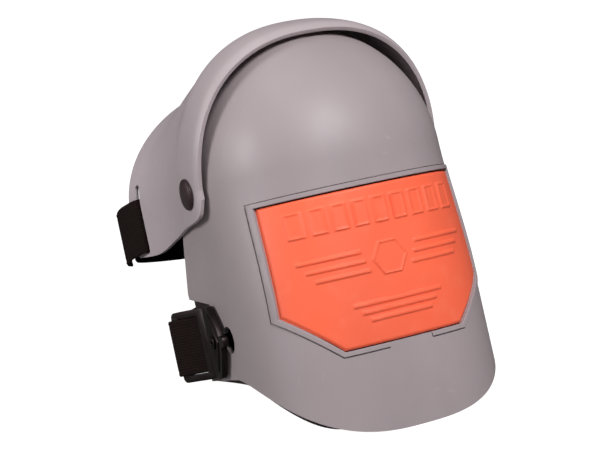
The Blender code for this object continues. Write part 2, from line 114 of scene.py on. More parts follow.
# Rivets, clips and straps
GAP = 0.0004
RIVET_HEAD_R, RIVET_HEAD_H, RIVET_SHANK_R, RING_BORE_R, RIVET_ROOM = 0.0105, 0.0032, 0.0041, 0.0045, 0.0049
SPACER_R, CAP_R, CAP_THICK = 0.0085, 0.0080, 0.0018
STRAP_WIDTH, STRAP_THICK = 0.038, 0.0018
RIB_PITCH, RIB_HEIGHT, EDGE_CORD, CORD_GROOVE = 0.0009, 0.00012, 0.00018, 0.00022
CLIP_Z, CLIP_YAW, CLIP_THICK, CLIP_TRAVEL = -0.0985, math.radians(28), 0.0040, 0.0150
CLIP_FRAME, CLIP_REACH, CLIP_BEND_Y, CLIP_FRONT_BAR, CLIP_REAR_BAR = 0.0480, 0.0312, 0.0265, 0.0070, 0.0060
KEYHOLE_R, KEYHOLE_SLOT_R, BUTTON_R, BUTTON_THICK, BUTTON_SHANK_R = 0.0090, 0.0045, 0.0078, 0.0018, 0.0041
THIGH_STRAP_Z, SLOT_Y, SLOT_WIDTH, SLOT_SPARE, LOOP_REAR_Y = -0.0110, 0.0900, 0.0062, 0.0012, 0.1060
SLOT_TOP = 0.0180
SIDE_CUT = (0.060, 0.130)
CLIP_FACE = HALF_WIDTH + FLARE * (math.hypot(0.030, FLARE_START) - FLARE_START) + GAP

# Foam
FOAM_SIDE_INSET, FOAM_FRONT_INSET, FOAM_THICK, FOAM_MARGIN = 0.0048, 0.0056, 0.0090, 0.0042
FOAM_TOP, CAP_POCKET_R, CAP_POCKET_X = 0.7775, 0.0090, (0.0757, 0.1200)
CUSHION_THICK, CUSHION_REACH, CUSHION_SPAN = 0.0110, 0.40, (-0.86, 0.22)
THIGH_FOAM_THICK, THIGH_FOAM_RISE, THIGH_FOAM_SPAN = 0.0050, 0.0100, (5.62, 6.35)

# Camera at the photographed angle, and how brightly the camera sees the backdrop
CAMERA_FORWARD, CAMERA_RIGHT, CAMERA_DISTANCE = (0.3787, 0.8962, -0.2311), (0.9072, -0.4089, -0.0995), 1.067
BACKDROP_GLOW = 1.0


def steps(first, last, count):
    return [first + (last - first) * i / (count - 1) for i in range(count)]


def superellipse(angle, power):
    """A point of the squared circle with half axes 1."""
    c, s = math.cos(angle), math.sin(angle)
    size = (abs(c) ** power + abs(s) ** power) ** (-1 / power)
    return c * size, s * size


def shell_point(u, w, inset=0.0, front_inset=None, margin=0.0):
    """Outer face of the lower shell: u from the left rear edge round the front, w from rim to crown."""
    front_inset = inset if front_inset is None else front_inset
    half, depth = HALF_WIDTH - inset, DEPTH - front_inset
    lift, shrink = (math.sin(w * math.pi / 2), math.cos(w * math.pi / 2)) if w > 0 else (0.0, 1.0)
    side = -1.0 if u < 0 else 1.0
    if abs(u) > FRONT_SHARE:
        along = (abs(u) - FRONT_SHARE) / (1 - FRONT_SHARE)
        z = (CROWN - inset) * lift + min(w, 0.0) * (SIDE_DROP + margin * (1 - 0.8 * along))
        y = along * (float(np.interp(z, REAR_EDGE_HEIGHTS, REAR_EDGE_Y)) + margin)
        x = (half + FLARE * (math.hypot(y, FLARE_START) - FLARE_START)) * shrink
        return side * x, y, z
    low = min(max(-w / 0.6, 0.0), 1.0)
    power = TOP_POWER + (LOW_POWER - TOP_POWER) * low * low * (3 - 2 * low)
    c, s = superellipse(math.pi / 2 * (1 - u / FRONT_SHARE), power)
    drop = SIDE_DROP + (FRONT_DROP - SIDE_DROP) * abs(s) ** RIM_POWER + margin * (1 - 3.5 * abs(s) ** 12)
    return half * shrink * c, -depth * shrink * s, (CROWN - inset) * lift + min(w, 0.0) * drop


def spline(rows, value):
    """The rows' values at a fractional row number, on a smooth curve through them."""
    index = min(int(value), len(rows) - 2)
    part = value - index
    before, first, second, after = (
        np.array(rows[min(max(index + shift, 0), len(rows) - 1)]) for shift in (-1, 0, 1, 2)
    )
    return 0.5 * (
        2 * first
        + (second - before) * part
        + (2 * before - 5 * first + 4 * second - after) * part**2
        + (3 * first - before - 3 * second + after) * part**3
    )


def cuff_point(t, station, inset=0.0, rise=0.0):
    """Outer face of the thigh cuff: t over the leg from the left bottom edge, station from the lip back."""
    base_y, apex_y, apex_z, half, bottom, power = spline(CUFF_ARCHES, station)
    half -= inset
    apex_z -= inset
    side = -1.0 if t < 0 else 1.0
    if abs(t) > ARCH_SHARE:
        return side * half, base_y, (bottom + rise) * (abs(t) - ARCH_SHARE) / (1 - ARCH_SHARE)
    c, s = superellipse(math.pi / 2 * (1 - t / ARCH_SHARE), power)
    return half * c, base_y + (apex_y - base_y) * s, apex_z * s


def cuff_side_x(y):
    """Half the cuff's outer width at y, at its bottom edge."""
    samples = [cuff_point(1.0, station) for station in steps(0.0, 7.0, 57)]
    return float(np.interp(y, [p[1] for p in samples], [p[0] for p in samples]))


# ---------------------------------------------------------------- building pieces


def grid_mesh(name, rows):
    """A sheet of quads through rows of points."""
    mesh = bpy.data.meshes.new(name)
    bm = bmesh.new()
    verts = [[bm.verts.new(point) for point in row] for row in rows]
    for low, high in zip(verts, verts[1:]):
        for a, b, c, d in zip(low, low[1:], high[1:], high):
            bm.faces.new((a, b, c, d))
    bmesh.ops.remove_doubles(bm, verts=bm.verts, dist=1e-6)
    bm.to_mesh(mesh)
    bm.free()
    return mesh


def walled(name, outer, inner):
    """A closed wall between two sheets of the same rows and columns."""
    mesh = bpy.data.meshes.new(name)
    bm = bmesh.new()
    front, back = ([[bm.verts.new(point) for point in row] for row in rows] for rows in (outer, inner))
    for sheet, step in ((front, 1), (back, -1)):
        for low, high in zip(sheet, sheet[1:]):
            for a, b, c, d in zip(low, low[1:], high[1:], high):
                bm.faces.new((a, b, c, d)[::step])
    rims = (
        (front[0][::-1], back[0][::-1]),
        (front[-1], back[-1]),
        ([row[0] for row in front], [row[0] for row in back]),
        ([row[-1] for row in front][::-1], [row[-1] for row in back][::-1]),
    )
    for edge, other in rims:
        for a, b, c, d in zip(edge, edge[1:], other[1:], other):
            bm.faces.new((a, b, c, d))
    bmesh.ops.remove_doubles(bm, verts=bm.verts, dist=1e-6)
    bmesh.ops.recalc_face_normals(bm, faces=bm.faces)
    bm.to_mesh(mesh)
    bm.free()
    return mesh


def add(name, mesh):
    thing = bpy.data.objects.new(name, mesh)
    bpy.context.scene.collection.objects.link(thing)
    return thing


def prism(name, outline, low, high, axis="Y"):
    """An outline in X-Z or in Y-Z, drawn out along the third axis."""
    order = {"X": lambda a, b, c: (c, a, b), "Y": lambda a, b, c: (a, c, b)}[axis]
    bm = bmesh.new()
    face = bm.faces.new([bm.verts.new(order(a, b, low)) for a, b in outline])
    grown = bmesh.ops.extrude_face_region(bm, geom=[face])
    far = [v for v in grown["geom"] if isinstance(v, bmesh.types.BMVert)]
    bmesh.ops.translate(bm, vec=order(0.0, 0.0, high - low), verts=far)
    bmesh.ops.recalc_face_normals(bm, faces=bm.faces)
    mesh = bpy.data.meshes.new(name)
    bm.to_mesh(mesh)
    bm.free()
    return add(name, mesh)


def side_prism(name, outline, side, low=SIDE_CUT[0], high=SIDE_CUT[1]):
    """A prism through one side wall, from an outline in Y-Z."""
    return prism(name, outline, *((low, high) if side > 0 else (-high, -low)), axis="X")


def turned(name, profile, segments=64):
    """A body turned about the knee axis, from (x, radius) pairs."""
    mesh = bpy.data.meshes.new(name)
    bm = bmesh.new()
    verts = [bm.verts.new((x, 0.0, radius)) for x, radius in profile]
    edges = [bm.edges.new(pair) for pair in zip(verts, verts[1:])]
    bmesh.ops.spin(
        bm, geom=[*verts, *edges], cent=(0, 0, 0), axis=(1, 0, 0), angle=2 * math.pi, steps=segments
    )
    bmesh.ops.remove_doubles(bm, verts=bm.verts, dist=1e-6)
    bmesh.ops.recalc_face_normals(bm, faces=bm.faces)
    bm.to_mesh(mesh)
    bm.free()
    return mesh


def modifier(thing, kind, **settings):
    step = thing.modifiers.new(kind.lower(), kind)
    for key, value in settings.items():
        setattr(step, key, value)


def thicken(thing, thickness):
    modifier(thing, "SOLIDIFY", thickness=thickness, offset=-1.0, use_even_offset=True)
    return thing


def cut(thing, other, operation="DIFFERENCE"):
    modifier(thing, "BOOLEAN", operation=operation, object=other, solver="EXACT")


def side_hole(thing, side, radius, low=SIDE_CUT[0], high=SIDE_CUT[1]):
    """Drills a round hole about the knee axis through one side wall."""
    near, far = (low, high) if side > 0 else (-high, -low)
    cut(thing, add("hole", turned("hole", ((near, 0.0), (near, radius), (far, radius), (far, 0.0)), 32)))


def rounded(thing, width, segments=3, angle=40):
    modifier(
        thing,
        "BEVEL",
        width=width,
        segments=segments,
        limit_method="ANGLE",
        angle_limit=math.radians(angle),
        harden_normals=False,
        use_clamp_overlap=True,
    )


def bake(thing):
    """Applies the modifiers, and drops what they used."""
    graph = bpy.context.evaluated_depsgraph_get()
    mesh = bpy.data.meshes.new_from_object(thing.evaluated_get(graph))
    used = [step.object for step in thing.modifiers if step.type == "BOOLEAN"]
    thing.modifiers.clear()
    thing.data = mesh
    for other in used:
        if other.users_collection:
            bpy.data.objects.remove(other, do_unlink=True)
    return thing


def finish_piece(thing, body, nodes, look, smooth_angle=38):
    """Puts a finished piece into the frame, with its finish, and onto its body."""
    bake(thing)
    thing.data.transform(TO_FRAME)
    thing.data.materials.clear()
    thing.data.materials.append(look)
    thing.data.shade_smooth()
    thing.data.set_sharp_from_angle(angle=math.radians(smooth_angle))
    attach(thing, body)
    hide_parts(*nodes)


def mirrored(mesh):
    """The same piece for the left side."""
    twin = mesh.copy()
    twin.transform(Matrix.Scale(-1, 4, (1, 0, 0)))
    twin.flip_normals()
    return twin


# ---------------------------------------------------------------- finishes


class Look:
    """A procedural material: its nodes are added one after another, and linked by name."""

    def __init__(self, name, **shader):
        self.material = bpy.data.materials.new(name)
        self.material.use_nodes = True
        self.tree = self.material.node_tree
        self.shader = self.tree.nodes["Principled BSDF"]
        for key, value in shader.items():
            self.shader.inputs[key.replace("_", " ")].default_value = value
        self.coords = self.tree.nodes.new("ShaderNodeTexCoord")
        self.height = None

    def node(self, kind, inputs=(), **settings):
        made = self.tree.nodes.new("ShaderNode" + kind)
        for key, value in settings.items():
            setattr(made, key, value)
        for key, value in dict(inputs).items():
            if isinstance(value, bpy.types.NodeSocket):
                self.tree.links.new(value, made.inputs[key])
            else:
                made.inputs[key].default_value = value
        return made

    def place(self, scale=(1.0, 1.0, 1.0)):
        return self.node("Mapping", {"Vector": self.coords.outputs["Object"], "Scale": scale}).outputs[0]

    def noise(self, scale, detail=3.0, stretch=(1.0, 1.0, 1.0), roughness=0.5):
        inputs = {"Vector": self.place(stretch), "Scale": scale, "Detail": detail, "Roughness": roughness}
        return self.node("TexNoise", inputs).outputs["Fac"]

    def ramp(self, value, low, high, first, last):
        made = self.node("MapRange", {0: value, 1: low, 2: high, 3: first, 4: last})
        return made.outputs[0]

    def math(self, operation, a, b):
        return self.node("Math", {0: a, 1: b}, operation=operation).outputs[0]

    def mix(self, factor, first, second, blend="MIX"):
        made = self.node("MixRGB", {"Fac": factor, "Color1": first, "Color2": second}, blend_type=blend)
        return made.outputs[0]

    def color(self, value):
        self.tree.links.new(value, self.shader.inputs["Base Color"])

    def roughness(self, value):
        self.tree.links.new(value, self.shader.inputs["Roughness"])

    def bump(self, value, strength, distance):
        inputs = {"Height": value, "Strength": strength, "Distance": distance}
        if self.height is not None:
            inputs["Normal"] = self.height
        self.height = self.node("Bump", inputs).outputs[0]
        self.tree.links.new(self.height, self.shader.inputs["Normal"])


def shade(color, factor):
    return (*(channel * factor for channel in color), 1.0)


def grey_plastic(name, tint):
    """Moulded polypropylene: a fine spark grain, faint flow marks and rubbed patches."""
    look = Look(name, Specular_IOR_Level=0.42)
    flow = look.noise(9.0, 4.0, (1.0, 0.6, 0.5))
    patches = look.noise(26.0, 5.0)
    base = look.mix(look.ramp(flow, 0.35, 0.65, 0.0, 1.0), shade(tint, 0.93), shade(tint, 1.06))
    base = look.mix(look.ramp(patches, 0.56, 0.74, 0.0, 0.30), base, shade(tint, 0.86))
    scuffs = look.noise(420.0, 2.0, (0.15, 1.0, 0.08))
    base = look.mix(look.ramp(scuffs, 0.69, 0.76, 0.0, 0.35), base, shade(tint, 1.22))
    look.color(base)
    look.roughness(look.ramp(patches, 0.3, 0.7, 0.42, 0.55))
    look.bump(look.noise(2600.0, 2.0), 0.22, 0.00006)
    look.bump(look.noise(60.0, 3.0), 0.10, 0.0003)
    return look.material


def orange_rubber(name, tint):
    """Moulded rubber: soft sheen, a little paler where it is handled, and a fine tooth."""
    look = Look(name, Specular_IOR_Level=0.34)
    cloud = look.noise(14.0, 4.0)
    dust = look.noise(90.0, 5.0)
    base = look.mix(look.ramp(cloud, 0.35, 0.68, 0.0, 1.0), shade(tint, 0.94), shade(tint, 1.05))
    pale = (min(1.0, tint[0] * 1.05), tint[1] * 1.45, tint[2] * 1.7, 1.0)
    base = look.mix(look.ramp(dust, 0.55, 0.78, 0.0, 0.35), base, pale)
    look.color(base)
    look.roughness(look.ramp(dust, 0.3, 0.7, 0.42, 0.58))
    look.bump(look.noise(1800.0, 2.0), 0.25, 0.00007)
    look.bump(look.noise(45.0, 2.0), 0.14, 0.0003)
    return look.material


def black_plastic(name, tint):
    look = Look(name, Specular_IOR_Level=0.26, Specular_Tint=(1.0, 0.78, 0.78, 1.0))
    patches = look.noise(70.0, 4.0)
    scratch = look.noise(700.0, 2.0, (1.0, 0.12, 0.4))
    base = look.mix(look.ramp(patches, 0.35, 0.7, 0.0, 1.0), shade(tint, 0.75), shade(tint, 1.5))
    base = look.mix(look.ramp(scratch, 0.68, 0.76, 0.0, 0.5), base, shade(tint, 4.5))
    look.color(base)
    look.roughness(look.ramp(patches, 0.3, 0.7, 0.30, 0.46))
    look.bump(look.noise(2100.0, 2.0), 0.3, 0.00008)
    return look.material


def knit_foam(name, tint):
    """Foam with a knitted facing: small staggered loops over soft unevenness."""
    look = Look(name, Specular_IOR_Level=0.15, Sheen_Weight=0.06, Sheen_Roughness=0.6)
    cells = look.node("TexVoronoi", {"Vector": look.place((1.0, 1.0, 1.5)), "Scale": 720.0})
    loops = cells.outputs["Distance"]
    cloud = look.noise(30.0, 4.0)
    base = look.mix(look.ramp(loops, 0.1, 0.7, 0.0, 1.0), shade(tint, 1.7), shade(tint, 0.6))
    base = look.mix(look.ramp(cloud, 0.4, 0.7, 0.0, 0.5), base, shade(tint, 2.3))
    look.color(base)
    look.roughness(look.ramp(cloud, 0.3, 0.7, 0.82, 0.95))
    look.bump(loops, 0.6, 0.0004)
    look.bump(look.noise(120.0, 4.0), 0.3, 0.0006)
    return look.material


def webbing(name, tint):
    """Woven polypropylene tape: fine crosswise ribs and lengthwise yarns, read from the strap's own UVs."""
    look = Look(name, Specular_IOR_Level=0.12, Specular_Tint=(1.0, 0.75, 0.72, 1.0))
    uv = look.coords.outputs["UV"]
    ribs = look.node(
        "TexWave",
        {"Vector": uv, "Scale": 260.0, "Distortion": 0.6, "Detail": 1.0},
        wave_type="BANDS",
        bands_direction="X",
    ).outputs["Fac"]
    yarns = look.node(
        "TexWave",
        {"Vector": uv, "Scale": 170.0, "Distortion": 0.4, "Detail": 1.0},
        wave_type="BANDS",
        bands_direction="Y",
    ).outputs["Fac"]
    weave = look.math("MULTIPLY", ribs, yarns)
    fuzz = look.noise(500.0, 4.0)
    base = look.mix(weave, shade(tint, 0.5), shade(tint, 1.9))
    base = look.mix(look.ramp(fuzz, 0.5, 0.8, 0.0, 0.5), base, shade(tint, 3.0))
    look.color(base)
    look.roughness(look.ramp(fuzz, 0.3, 0.7, 0.62, 0.85))
    look.bump(weave, 0.9, 0.00035)
    look.bump(fuzz, 0.3, 0.0002)
    return look.material


SHELL_GREY = grey_plastic("shell_grey", (0.360, 0.303, 0.317))
CUFF_GREY = grey_plastic("cuff_grey", (0.440, 0.374, 0.393))
RUBBER = orange_rubber("insert_orange", (1.00, 0.150, 0.070))
BLACK = black_plastic("clip_black", (0.0040, 0.0022, 0.0024))
RIVET_BLACK = black_plastic("rivet_black", (0.024, 0.014, 0.016))
FOAM = knit_foam("foam_black", (0.024, 0.016, 0.015))
WEBBING = webbing("webbing_black", (0.0080, 0.0046, 0.0042))


# ---------------------------------------------------------------- lower shell and insert


def insert_outline(grow):
    """The insert's six corners from the front, moved outwards by about grow."""
    corners = (
        (INSERT_TOP_X + grow, INSERT_TOP_Z + grow),
        (INSERT_SIDE_X + grow, INSERT_SIDE_Z - grow * 0.5),
        (INSERT_BOTTOM_X + grow * 0.5, INSERT_BOTTOM_Z - grow),
    )
    return [*corners, *[(-x, z) for x, z in reversed(corners)]]


def arc(middle_y, middle_z, radius, first, last, count):
    return [
        (middle_y + radius * math.cos(angle), middle_z + radius * math.sin(angle))
        for angle in steps(first, last, count)
    ]


def keyhole_outline():
    """A round end, and a narrower slot towards the back that the clip's button rests in."""
    half_angle = math.asin(KEYHOLE_SLOT_R / KEYHOLE_R)
    return [
        *arc(0.0, CLIP_Z, KEYHOLE_R, half_angle, 2 * math.pi - half_angle, 41),
        *arc(CLIP_TRAVEL, CLIP_Z, KEYHOLE_SLOT_R, -math.pi / 2, math.pi / 2, 17),
    ]


def rim_distance(x, z):
    """How far a point is outside the insert's outline, seen from the front; less than 0 inside."""
    corners = insert_outline(0.0)
    worst = -1.0
    for (ax, az), (bx, bz) in zip(corners, [*corners[1:], corners[0]]):
        length = math.hypot(bx - ax, bz - az)
        worst = max(worst, ((z - az) * (bx - ax) - (x - ax) * (bz - az)) / length)
    return worst


def swept_rim(name, tree, section):
    """A bar along the insert's outline, on the shell's surface."""
    corners = {grow: insert_outline(grow) for grow, _ in section}
    mesh = bpy.data.meshes.new(name)
    bm = bmesh.new()
    rings = []
    for edge, first, last in BAND_STRETCHES:
        for part in steps(first, last, 49):
            ring = []
            for grow, height in section:
                (ax, az), (bx, bz) = corners[grow][edge], corners[grow][(edge + 1) % 6]
                start = Vector((ax + (bx - ax) * part, -0.3, az + (bz - az) * part))
                place, normal, _, _ = tree.ray_cast(start, Vector((0.0, 1.0, 0.0)))
                outward = -normal if normal.y > 0 else normal
                ring.append(bm.verts.new(place + outward * height))
            rings.append(ring)
    for low, high in zip(rings, rings[1:]):
        for k in range(len(section)):
            n = (k + 1) % len(section)
            bm.faces.new((low[k], low[n], high[n], high[k]))
    for ring in (rings[0], rings[-1]):
        bm.faces.new(ring)
    bmesh.ops.remove_doubles(bm, verts=bm.verts, dist=1e-6)
    bmesh.ops.recalc_face_normals(bm, faces=bm.faces)
    bm.to_mesh(mesh)
    bm.free()
    return add(name, mesh)


def shell_normal(u, w):
    """Outward direction of the lower shell's outer face."""
    e = 1e-4
    a = np.array(shell_point(min(u + e, 1.0), w)) - np.array(shell_point(max(u - e, -1.0), w))
    b = np.array(shell_point(u, min(w + e, 0.999))) - np.array(shell_point(u, max(w - e, -1.0)))
    normal = np.cross(a, b)
    size = np.linalg.norm(normal)
    return normal / size if size > 0 else np.array((0.0, 0.0, 1.0))


def ground():
    """A block below the floor, which trims the shell's rim."""
    mesh = bpy.data.meshes.new("ground")
    bm = bmesh.new()
    bmesh.ops.create_cube(bm, size=1.0)
    bmesh.ops.translate(bm, vec=(0, 0, -0.5), verts=bm.verts)
    bm.to_mesh(mesh)
    bm.free()
    mesh.transform(TO_FRAME.inverted())
    return add("ground", mesh)


def lower_shell():
    around = [
        *steps(-1.0, -FRONT_SHARE, 17)[:-1],
        *steps(-FRONT_SHARE, FRONT_SHARE, 261),
        *steps(FRONT_SHARE, 1.0, 17)[1:],
    ]
    upwards = [*steps(-1.0, 0.0, SHELL_ROWS_BELOW + 1), *steps(0.0, 1.0, SHELL_ROWS_ABOVE + 1)[1:]]
    rows, inner = ([[shell_point(u, w, inset) for u in around] for w in upwards] for inset in (0.0, WALL))
    columns = len(around)
    quads = [
        (i * columns + j, i * columns + j + 1, (i + 1) * columns + j + 1, (i + 1) * columns + j)
        for i in range(SHELL_ROWS_BELOW)
        for j in range(columns - 1)
    ]
    tree = BVHTree.FromPolygons([point for row in rows for point in row], quads)
    shell = add("knee_shell", walled("knee_shell", rows, inner))
    cut(shell, swept_rim("groove", tree, GROOVE_SECTION))
    cut(shell, prism("insert_window", insert_outline(WINDOW_GAP), -0.15, -0.02))
    for side in (-1, 1):
        cut(shell, side_prism("strap_notch", STRAP_NOTCH, side))
        cut(shell, side_prism("keyhole", keyhole_outline(), side))
        side_hole(shell, side, RIVET_ROOM)
    cut(shell, ground())
    bake(shell)
    rounded(shell, 0.0008, 3, 50)
    finish_piece(shell, "lower", ["lower_shell"], SHELL_GREY, 30)
    band_piece = swept_rim("window_rim", tree, BAND_SECTION)
    finish_piece(band_piece, "lower", ["lower_shell"], SHELL_GREY, 30)


def pad(x, z, middle, half, soft=0.0009):
    """A raised block with soft edges: 1 on it, 0 off it."""
    out = max(abs(x - middle[0]) - half[0], abs(z - middle[1]) - half[1])
    return min(1.0, max(0.0, 0.5 - out / soft))


def outline(x, z, middle, half, width=0.0012):
    """A raised rim round a block, which stands less proud inside."""
    return max(pad(x, z, middle, half) - 0.55 * pad(x, z, middle, (half[0] - width, half[1] - width)), 0.0)


def soft_step(distance, soft=0.0006):
    """1 well inside an edge, 0 outside it."""
    return min(1.0, max(0.0, distance / soft))


def tread_height(x, z):
    """Plain grip pattern, from 0 to 1."""
    if -rim_distance(x, z) < TREAD_MARGIN:
        return 0.0
    height = 0.0
    if -0.0470 < z < -0.0255:
        column = min(max(round(x / BLOCK_PITCH), -BLOCKS_EACH_SIDE), BLOCKS_EACH_SIDE)
        height = outline(x, z, (column * BLOCK_PITCH, BLOCK_Z), BLOCK_HALF)
    elif -0.0860 < z < -0.0500:
        for row, near in enumerate(LONG_RIB_STARTS):
            far = LONG_RIB_END - LONG_RIB_STEP * row
            middle = ((near + far) / 2, LONG_RIB_Z - LONG_RIB_PITCH * row)
            height = max(height, pad(abs(x), z, middle, ((far - near) / 2, LONG_RIB_HALF)))
        out = max(abs(x) * 0.866 + abs(z - PAD_Z) * 0.5, abs(z - PAD_Z))
        height = max(height, soft_step(PAD_RIM - out) - 0.6 * soft_step(PAD_FLAT - out))
    elif -0.1090 < z < -0.0880:
        row = min(max(round((SHORT_RIB_Z - z) / SHORT_RIB_PITCH), 0), 2)
        middle = (0.0, SHORT_RIB_Z - SHORT_RIB_PITCH * row)
        height = pad(x, z, middle, (SHORT_RIB_HALF[0] - SHORT_RIB_STEP * row, SHORT_RIB_HALF[1]))
    return height * height * (3 - 2 * height)


def knee_insert():
    across = steps(-FRONT_SHARE * 0.93, FRONT_SHARE * 0.93, 331)
    up = steps(-0.80, 0.0, 281)
    rows = []
    for w in up:
        row = []
        for u in across:
            point = np.array(shell_point(u, w, inset=INSERT_SUNK))
            edge = min(max(0.0, 1.0 + rim_distance(point[0], point[2]) / INSERT_EDGE), 1.0)
            proud = TREAD_PROUD * tread_height(point[0], point[2]) - INSERT_EDGE_DROP * edge**2
            row.append(tuple(point + shell_normal(u, w) * proud))
        rows.append(row)
    inner = [[shell_point(u, w, inset=INSERT_BACK) for u in across] for w in up]
    plate = add("rubber_insert", walled("rubber_insert", rows, inner))
    cut(plate, prism("shape", insert_outline(0.0), -0.15, -0.02), "INTERSECT")
    finish_piece(plate, "lower", ["knee_insert"], RUBBER, 50)


# ---------------------------------------------------------------- foam


def padded_sheet(name, point, columns, rows_at, thickness, softness, body, node):
    """A foam sheet with rounded edges."""
    rows = [[point(u, w) for u in columns] for w in rows_at]
    sheet = thicken(add(name, grid_mesh(name, rows)), thickness)
    bake(sheet)
    rounded(sheet, softness, 4, 50)
    finish_piece(sheet, body, [node], FOAM, 60)
    return sheet


def knee_foam():
    around = [
        *steps(-1.0, -FRONT_SHARE, 9)[:-1],
        *steps(-FRONT_SHARE, FRONT_SHARE, 81),
        *steps(FRONT_SHARE, 1.0, 9)[1:],
    ]
    upwards = [*steps(-1.0, 0.0, 41), *steps(0.0, FOAM_TOP, 25)[1:]]
    offsets = (FOAM_SIDE_INSET, FOAM_FRONT_INSET, FOAM_MARGIN)
    rows = [[shell_point(u, w, *offsets) for u in around] for w in upwards]
    foam = thicken(add("knee_liner", grid_mesh("knee_liner", rows)), FOAM_THICK)
    front = arc(0.0, CLIP_Z, BUTTON_R + 0.0010, 0.5 * math.pi, 1.5 * math.pi, 17)
    pocket = [*front, *[(CLIP_TRAVEL - y, z) for y, z in reversed(front)]]
    for side in (-1, 1):
        cut(foam, side_prism("pocket", pocket, side, HALF_WIDTH - 0.0062))
        side_hole(foam, side, CAP_POCKET_R, *CAP_POCKET_X)
    bake(foam)
    rounded(foam, 0.0022, 4, 55)
    finish_piece(foam, "lower", ["knee_foam"], FOAM, 60)


def knee_cushion():
    inner = FOAM_FRONT_INSET + FOAM_THICK + GAP
    cushion = padded_sheet(
        "knee_cushion_pad",
        lambda u, w: shell_point(u, w, inner),
        steps(-CUSHION_REACH, CUSHION_REACH, 41),
        steps(*CUSHION_SPAN, 41),
        CUSHION_THICK,
        0.0045,
        "lower",
        "knee_cushion",
    )


# ---------------------------------------------------------------- thigh cuff


def over_the_leg(edge_count, arch_count):
    return [
        *steps(-1.0, -ARCH_SHARE, edge_count)[:-1],
        *steps(-ARCH_SHARE, ARCH_SHARE, arch_count),
        *steps(ARCH_SHARE, 1.0, edge_count)[1:],
    ]


def thigh_cuff():
    over = over_the_leg(9, 161)
    rows = [[cuff_point(t, station) for t in over] for station in steps(0.0, len(CUFF_ARCHES) - 1.0, 99)]
    cuff = thicken(add("cuff_shell", grid_mesh("cuff_shell", rows)), CUFF_WALL)
    middle, radius = SLOT_Y + SLOT_WIDTH / 2, SLOT_WIDTH / 2
    low_end = THIGH_STRAP_Z - STRAP_WIDTH / 2 - SLOT_SPARE
    slot = [
        *arc(middle, SLOT_TOP - radius, radius, 0.0, math.pi, 13),
        *arc(middle, low_end + radius, radius, math.pi, 2 * math.pi, 13),
    ]
    for side in (-1, 1):
        cut(cuff, side_prism("strap_slot", slot, side))
        side_hole(cuff, side, RIVET_ROOM)
    bake(cuff)
    rounded(cuff, 0.0009, 3, 50)
    finish_piece(cuff, "thigh", ["thigh_cuff"], CUFF_GREY, 30)


def thigh_foam():
    inset = CUFF_WALL + GAP
    foam = padded_sheet(
        "thigh_pad",
        lambda t, station: cuff_point(t, station, inset, THIGH_FOAM_RISE),
        over_the_leg(7, 81),
        steps(*THIGH_FOAM_SPAN, 15),
        THIGH_FOAM_THICK,
        0.0022,
        "thigh",
        "thigh_foam",
    )


# ---------------------------------------------------------------- rivets, clips


def rivets():
    outside = cuff_side_x(RIVET_HEAD_R) + GAP
    end = HALF_WIDTH - WALL - 2.5 * GAP - CAP_THICK
    dome = [
        (outside + RIVET_HEAD_H * (0.22 + 0.78 * math.sin(a)), RIVET_HEAD_R * math.cos(a) ** 0.8)
        for a in steps(0.0, math.pi / 2, 17)[:-1]
    ]
    rim = [(outside, RIVET_HEAD_R - 0.0004), (outside + 0.0003, RIVET_HEAD_R)]
    shank = [(end, 0.0), (end, RIVET_SHANK_R), (outside, RIVET_SHANK_R)]
    right = turned("rivet", [*shank, *rim, *dome, (outside + RIVET_HEAD_H, 0.0)])
    for word, mesh in (("right", right), ("left", mirrored(right))):
        rivet = add(f"rivet_{word}", mesh)
        finish_piece(rivet, "lower", [f"pivot_rivet_{word}"], RIVET_BLACK)
    spacer_high = cuff_side_x(-SPACER_R) - CUFF_WALL - GAP
    soft = 0.0003
    for name, node, low, high, radius in (
        ("spacer", "pivot_spacer", HALF_WIDTH + GAP, spacer_high, SPACER_R),
        ("cap", "rivet_cap", end, end + CAP_THICK, CAP_R),
    ):
        ring = [
            (low, RING_BORE_R),
            (low, radius - soft),
            (low + soft, radius),
            (high - soft, radius),
            (high, radius - soft),
            (high, RING_BORE_R),
            (low, RING_BORE_R),
        ]
        right = turned(name, ring, 48)
        for word, mesh in (("right", right), ("left", mirrored(right))):
            finish_piece(add(f"{name}_{word}", mesh), "lower", [f"{node}_{word}"], BLACK)


def clip_local(y, x=0.0):
    """(x, y) of a point on the clip's bent half: y along it from the bend, x outwards from its inner face."""
    s, c = math.sin(CLIP_YAW), math.cos(CLIP_YAW)
    return CLIP_FACE + y * s + x * c, CLIP_BEND_Y + y * c - x * s


def round_rect(y0, y1, z0, z1, radius):
    corners = (
        (y1 - radius, z1 - radius),
        (y0 + radius, z1 - radius),
        (y0 + radius, z0 + radius),
        (y1 - radius, z0 + radius),
    )
    return [
        point
        for quarter, (y, z) in enumerate(corners)
        for point in arc(y, z, radius, math.pi / 2 * quarter, math.pi / 2 * (quarter + 1), 7)
    ]


def clip_frame():
    """The open frame that the strap folds through, lying in Y-Z."""
    half, end = CLIP_FRAME / 2, STRAP_WIDTH / 2 + 0.0004
    body = prism("clip_frame", round_rect(0.0, CLIP_REACH, -half, half, 0.0035), 0.0, CLIP_THICK, axis="X")
    opening = round_rect(CLIP_FRONT_BAR, CLIP_REACH - CLIP_REAR_BAR, -end, end, 0.0012)
    cut(body, prism("clip_window", opening, -0.01, 0.02, axis="X"))
    return bake(body)


